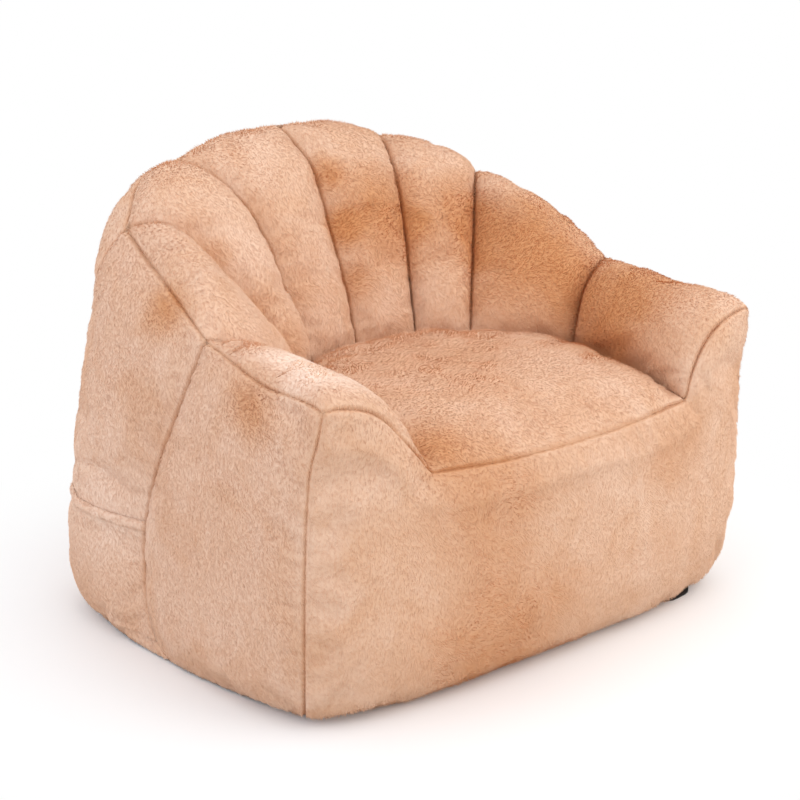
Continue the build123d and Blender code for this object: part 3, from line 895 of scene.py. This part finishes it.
class ARMCHAIR_OT_pockets(bpy.types.Operator):
    """Lays a flat patch pocket with a turned hem on each rear side"""

    bl_idname = "armchair.pockets"
    bl_label = "Side pockets"

    top_z, bottom_z, hem_height = 207 * MM, 22 * MM, 17 * MM
    lift, hem_lift, stitch_depth, thickness = 4 * MM, 5 * MM, 3 * MM, 3 * MM
    # Shares of the hem's height at which it is cut to roll, the first of them along the stitches
    hem_cuts, stitch_width = (0.0, 0.3, 0.7), 0.1 * MM
    # Shares of its lift that the pocket loses at its mouth and along its sides, and the width of a side
    mouth_drop, side_drop, side_width = 0.6, 0.6, 30 * MM

    def cut_level(self, bm, height, up=1, clear=False):
        """Cuts a mesh at a height, and clears what lies beyond the cut where asked to."""
        everything = bm.verts[:] + bm.edges[:] + bm.faces[:]
        bmesh.ops.bisect_plane(
            bm, geom=everything, plane_co=(0, 0, height), plane_no=(0, 0, up), clear_outer=clear
        )

    def execute(self, context):
        settings = context.scene.armchair
        fur = settled("faux_fur_plush", faux_fur_plush, settings)
        for hand in HANDS:
            bm = bmesh.new()
            bm.from_mesh(bpy.data.objects[f"rear_side_panel_{hand}_plush"].data)
            self.cut_level(bm, self.top_z, clear=True)
            self.cut_level(bm, self.bottom_z, up=-1, clear=True)
            stitch = self.top_z - self.hem_height
            for share in self.hem_cuts:
                self.cut_level(bm, stitch + share * self.hem_height)
            bm.normal_update()
            front_y, rear_y = min(vert.co.y for vert in bm.verts), max(vert.co.y for vert in bm.verts)
            for vert, normal in [(vert, vert.normal.copy()) for vert in bm.verts]:
                share = min(max((vert.co.z - stitch) / self.hem_height, 0.0), 1.0)
                lift = self.lift * (1 - self.mouth_drop * share) + self.hem_lift * math.sin(math.pi * share)
                to_side = min(vert.co.y - front_y, rear_y - vert.co.y)
                lift *= 1 - self.side_drop * ease(to_side, self.side_width)
                if abs(vert.co.z - stitch) < self.stitch_width:
                    lift -= self.stitch_depth
                vert.co += normal * lift
            mesh = bpy.data.meshes.new(f"pocket_panel_{hand}_plush")
            bm.to_mesh(mesh)
            bm.free()
            piece = new_piece(mesh.name, mesh, fur, [f"pocket_panel_{hand}"])
            lay_cloth(piece, self.thickness, settings)
            covered = bpy.data.objects[f"rear_side_panel_{hand}_plush"].data
            for vert, pile in zip(covered.vertices, covered.attributes["pile"].data):
                if self.bottom_z < vert.co.z < stitch:
                    pile.value = 0.0
        return {"FINISHED"}


class ARMCHAIR_OT_filling(bpy.types.Operator):
    """Fills each chamber with a lump of shredded foam in its own liner bag, tucked inside the cover"""

    bl_idname = "armchair.filling"
    bl_label = "Liners and fill"

    voxel, fewest_voxels = 14 * MM, 4
    liner_room, fill_room = 9 * MM, 12 * MM
    liner_thickness = 0.8 * MM
    # The share of its room that a bag is drawn in by, how unevenly, and the size of its lumps
    draw_in, unevenness, lump = 0.35, 0.6, 60 * MM
    # The smoothing after each push away from the cover, with none after the last, so that it holds
    softenings = (0.5, 0.5, 0.0)

    def execute(self, context):
        cover = bmesh.new()
        for piece in list(bpy.data.objects):
            if piece.name.endswith("_plush"):
                cover.from_mesh(piece.data)
        inside = BVHTree.FromBMesh(cover)
        cover.free()
        # Spun nonwoven: thin off-white felt, faintly flecked
        cloth = settled("spun_nonwoven", speckled, "spun_nonwoven", "#ECEAE4", "#D9D6CD", 3, 0.8)
        # Shredded foam: dull cream crumbs with shade between them
        foam = settled("shredded_foam", speckled, "shredded_foam", "#EBDDB8", "#C9B68A", 9, 0.95)
        for node in [name for name in frame["nodes"] if "_fill" in name]:
            liner_node = node.replace("_fill", "_liner")
            liner = self.bag(node, inside, self.liner_room, f"{liner_node}_bag", context)
            piece = new_piece(f"{liner_node}_bag", liner, cloth, [liner_node])
            wall = piece.modifiers.new("Solidify", "SOLIDIFY")
            wall.thickness = self.liner_thickness
            wall.offset = -1
            crumb = self.bag(node, inside, self.fill_room, f"{node}_foam", context)
            new_piece(f"{node}_foam", crumb, foam, [node])
        return {"FINISHED"}

    def bag(self, node, inside, room, name, context):
        """A chamber's shape, remeshed and drawn in wherever it would come too near the cover."""
        mesh = frame["nodes"][node].data.copy()
        bm = bmesh.new()
        bm.from_mesh(mesh)
        bmesh.ops.remove_doubles(bm, verts=bm.verts, dist=0.01 * MM)
        bm.to_mesh(mesh)
        bm.free()
        block = bpy.data.objects.new("block", mesh)
        context.scene.collection.objects.link(block)
        remesh = block.modifiers.new("Remesh", "REMESH")
        remesh.mode = "VOXEL"
        remesh.voxel_size = min(self.voxel, min(block.dimensions) / self.fewest_voxels)
        graph = context.evaluated_depsgraph_get()
        bm = bmesh.new()
        bm.from_mesh(block.evaluated_get(graph).data)
        bpy.data.objects.remove(block)
        bm.normal_update()
        for vert, normal in [(vert, vert.normal.copy()) for vert in bm.verts]:
            vert.co = slumped(*(vert.co / MM)) * MM
            uneven = 1 + self.unevenness * noise.noise(vert.co / self.lump)
            vert.co -= normal * room * self.draw_in * uneven
        for softening in self.softenings:
            for vert in bm.verts:
                hit, out, index, distance = inside.find_nearest(vert.co)
                if (vert.co - hit).dot(out) > -room:
                    vert.co = hit - out * room
            bmesh.ops.smooth_vert(
                bm, verts=bm.verts, factor=softening, use_axis_x=True, use_axis_y=True, use_axis_z=True
            )
        for face in bm.faces:
            face.smooth = True
        bag = bpy.data.meshes.new(name)
        bm.to_mesh(bag)
        bm.free()
        return bag


class ARMCHAIR_OT_base(bpy.types.Operator):
    """Cuts the dark woven cloth that the chair stands on"""

    bl_idname = "armchair.base"
    bl_label = "Base cloth"

    spacing, hem, tuck = 12 * MM, 10 * MM, 16 * MM
    # Where an edge of the cloth peeks out from under the cover, how far it peeks out there and how wide that
    # is
    loose_spot, peek, loose_width = (328 * MM, -290 * MM, 0), 62 * MM, 90 * MM

    def execute(self, context):
        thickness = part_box("base_panel")[1].z
        outline = []
        for name in ("front_floor", "side_floor", "rear_side_floor", "back_floor"):
            line = Line(SEAMS[name])
            steps = round(line.walked[-1] / self.spacing)
            shares = [step / steps for step in range(steps)]
            outline += [line.at(1 - share if name == "front_floor" else share) for share in shares]
        outline.append(Line(SEAMS["back_floor"]).at(1))
        outline += [Vector((-place.x, place.y, place.z)) for place in reversed(outline[1:-1])]
        bm = bmesh.new()
        sheet = bm.faces.new([bm.verts.new((place.x, place.y, 0)) for place in outline])
        bmesh.ops.recalc_face_normals(bm, faces=[sheet])
        spare = bmesh.ops.inset_region(bm, faces=[sheet], thickness=self.tuck, use_boundary=True)["faces"]
        bmesh.ops.delete(bm, geom=spare, context="FACES")
        for vert in sheet.verts:
            from_spot = (vert.co - Vector(self.loose_spot)).length
            vert.co.y -= self.peek * ease(from_spot - self.tuck, self.loose_width)
        area = sheet.calc_area()
        bmesh.ops.inset_region(bm, faces=[sheet], thickness=self.hem, use_boundary=True)
        bmesh.ops.triangulate(bm, faces=[face for face in bm.faces if len(face.verts) > 4])
        made = bmesh.ops.extrude_face_region(bm, geom=bm.faces[:])
        lifted = [item for item in made["geom"] if isinstance(item, bmesh.types.BMVert)]
        bmesh.ops.translate(bm, verts=lifted, vec=(0, 0, thickness))
        bmesh.ops.recalc_face_normals(bm, faces=bm.faces)
        mesh = bpy.data.meshes.new("base_cloth")
        bm.to_mesh(mesh)
        bm.free()
        # Dark woven polyester: a dull, nearly black cloth with a fine weave
        cloth = settled(
            "dark_woven_polyester", woven_cloth, "dark_woven_polyester", "#3A3432", "#171413", 1.2, 0.6
        )
        piece = new_piece("base_cloth", mesh, cloth, ["base_panel"])
        return {"FINISHED"}


class ARMCHAIR_OT_zip(bpy.types.Operator):
    """Finishes the zip's tapes, teeth, stops, slider and pull"""

    bl_idname = "armchair.zip"
    bl_label = "Zip"

    def execute(self, context):
        # Woven zip tape: flat and matt, a shade browner than the pile
        tape = settled("woven_zip_tape", woven_cloth, "woven_zip_tape", "#B98D6C", "#8E684C", 0.6, 0.5)
        # Moulded nylon: smooth brown teeth with a soft shine
        coil = settled("moulded_nylon", speckled, "moulded_nylon", "#A97C5C", "#946A4C", 0.8, 0.45)
        # Painted zinc: tan paint over metal, with a clearer shine
        metal = settled("painted_zinc", speckled, "painted_zinc", "#A98A70", "#927560", 0.5, 0.35, 0.6)
        for node, piece in frame["nodes"].items():
            if node.startswith("zip_"):
                finish = tape if "tape" in node else coil if "teeth" in node else metal
                piece.data.materials.clear()
                piece.data.materials.append(finish)
        return {"FINISHED"}


class ARMCHAIR_OT_stage(bpy.types.Operator):
    """Sets the pale floor, the soft studio light and the camera"""

    bl_idname = "armchair.stage"
    bl_label = "Studio stage"

    camera_place = (-1.807, -2.177, 1.216)
    camera_turn, camera_tilt = 39.9, 17.5
    focal_pixels, frame_pixels, sensor_mm = 1814, 800, 36
    # The floor's half width, and the reaches at which its shadow starts to fade and is gone
    floor_size, shadow_start, shadow_end = 60, 0.44, 0.9
    lamp_aim = (0, 0, 0.35)

    def execute(self, context):
        scene = context.scene
        scene.view_settings.view_transform = "Standard"
        camera = bpy.data.objects.new("camera", bpy.data.cameras.new("camera"))
        scene.collection.objects.link(camera)
        camera.location = self.camera_place
        camera.rotation_euler = (math.radians(90 - self.camera_tilt), 0, math.radians(-self.camera_turn))
        camera.data.sensor_width = self.sensor_mm
        camera.data.lens = self.focal_pixels / self.frame_pixels * self.sensor_mm
        scene.camera = camera
        self.floor(scene)
        self.lights(scene)
        return {"FINISHED"}

    def floor(self, scene):
        bm = bmesh.new()
        bmesh.ops.create_grid(bm, x_segments=1, y_segments=1, size=self.floor_size)
        mesh = bpy.data.meshes.new("floor")
        bm.to_mesh(mesh)
        bm.free()
        floor = bpy.data.objects.new("floor", mesh)
        scene.collection.objects.link(floor)
        material, tree, shader, place = new_material("pale_studio_floor")
        shader.inputs["Roughness"].default_value = 0.9
        path = add_node(tree, "ShaderNodeLightPath").outputs
        tint = add_node(
            tree, "ShaderNodeMix",
            [("Factor", path["Is Camera Ray"]), (6, linear("#CFCBC6")), (7, linear("#FCFCFB"))],
            data_type="RGBA",
        ).outputs[2]
        tree.links.new(tint, shader.inputs["Base Color"])
        reach = add_node(tree, "ShaderNodeVectorMath", [(0, place)], operation="LENGTH").outputs["Value"]
        away = add_node(
            tree, "ShaderNodeMapRange",
            [("Value", reach), ("From Min", self.shadow_start), ("From Max", self.shadow_end)],
            interpolation_type="SMOOTHSTEP",
        ).outputs["Result"]
        seen = add_node(
            tree, "ShaderNodeMath", [(0, path["Is Camera Ray"]), (1, path["Is Glossy Ray"])],
            operation="MAXIMUM",
        ).outputs[0]
        shown = add_node(tree, "ShaderNodeMath", [(0, seen), (1, away)], operation="MULTIPLY").outputs[0]
        white = add_node(tree, "ShaderNodeEmission", [("Strength", 1.0)]).outputs[0]
        mixed = add_node(
            tree, "ShaderNodeMixShader", [(0, shown), (1, shader.outputs[0]), (2, white)]
        ).outputs[0]
        add_node(tree, "ShaderNodeOutputMaterial", [("Surface", mixed)]).is_active_output = True
        mesh.materials.append(material)

    def lights(self, scene):
        world = bpy.data.worlds.new("studio")
        scene.world = world
        world.use_nodes = True
        tree = world.node_tree
        tree.nodes.clear()
        path = add_node(tree, "ShaderNodeLightPath").outputs
        seen = add_node(
            tree, "ShaderNodeMath", [(0, path["Is Camera Ray"]), (1, path["Is Glossy Ray"])],
            operation="MAXIMUM",
        ).outputs[0]
        soft, white = [
            add_node(
                tree, "ShaderNodeBackground", [("Color", linear(colour)), ("Strength", 1.0)]
            ).outputs[0]
            for colour in ("#F3F3F5", "#FFFFFF")
        ]
        mixed = add_node(tree, "ShaderNodeMixShader", [(0, seen), (1, soft), (2, white)]).outputs[0]
        add_node(tree, "ShaderNodeOutputWorld", [("Surface", mixed)])
        for name, place, size, power, colour in (
            ("key", (1.7, -2.2, 2.4), 3.0, 36, "#FFFAF5"),
            ("side", (-3.0, 0.0, 1.3), 3.0, 26, "#DDE5FF"),
            ("fill", (0.6, -3.2, 1.3), 3.0, 16, "#F6F8FF"),
            ("top", (-0.6, 0.2, 3.0), 3.0, 9, "#FFF8F2"),
        ):
            lamp = bpy.data.lights.new(name, "AREA")
            lamp.color = linear(colour)[:3]
            lamp.size = size
            lamp.energy = power
            light = bpy.data.objects.new(name, lamp)
            scene.collection.objects.link(light)
            light.location = place
            aim = Vector(self.lamp_aim) - Vector(place)
            light.rotation_euler = aim.to_track_quat("-Z", "Y").to_euler()


class ARMCHAIR_PT_panel(bpy.types.Panel):
    """Lists the armchair's operators"""

    bl_label = "Armchair"
    bl_idname = "ARMCHAIR_PT_panel"
    bl_space_type = "VIEW_3D"
    bl_region_type = "UI"
    bl_category = "Armchair"

    def draw(self, context):
        for step in STEPS:
            self.layout.operator(step.bl_idname)


STEPS = (
    ARMCHAIR_OT_cover, ARMCHAIR_OT_pockets, ARMCHAIR_OT_filling,
    ARMCHAIR_OT_base, ARMCHAIR_OT_zip, ARMCHAIR_OT_stage,
)
CLASSES = (ArmchairSettings, *STEPS, ARMCHAIR_PT_panel)


def register():
    for item in CLASSES:
        bpy.utils.register_class(item)
    bpy.types.Scene.armchair = bpy.props.PointerProperty(type=ArmchairSettings)


def unregister():
    del bpy.types.Scene.armchair
    for item in reversed(CLASSES):
        bpy.utils.unregister_class(item)


def main():
    register()
    bpy.ops.armchair.cover()
    bpy.ops.armchair.pockets()
    bpy.ops.armchair.filling()
    bpy.ops.armchair.base()
    bpy.ops.armchair.zip()
    bpy.ops.armchair.stage()


if __name__ == "__main__":
    main()
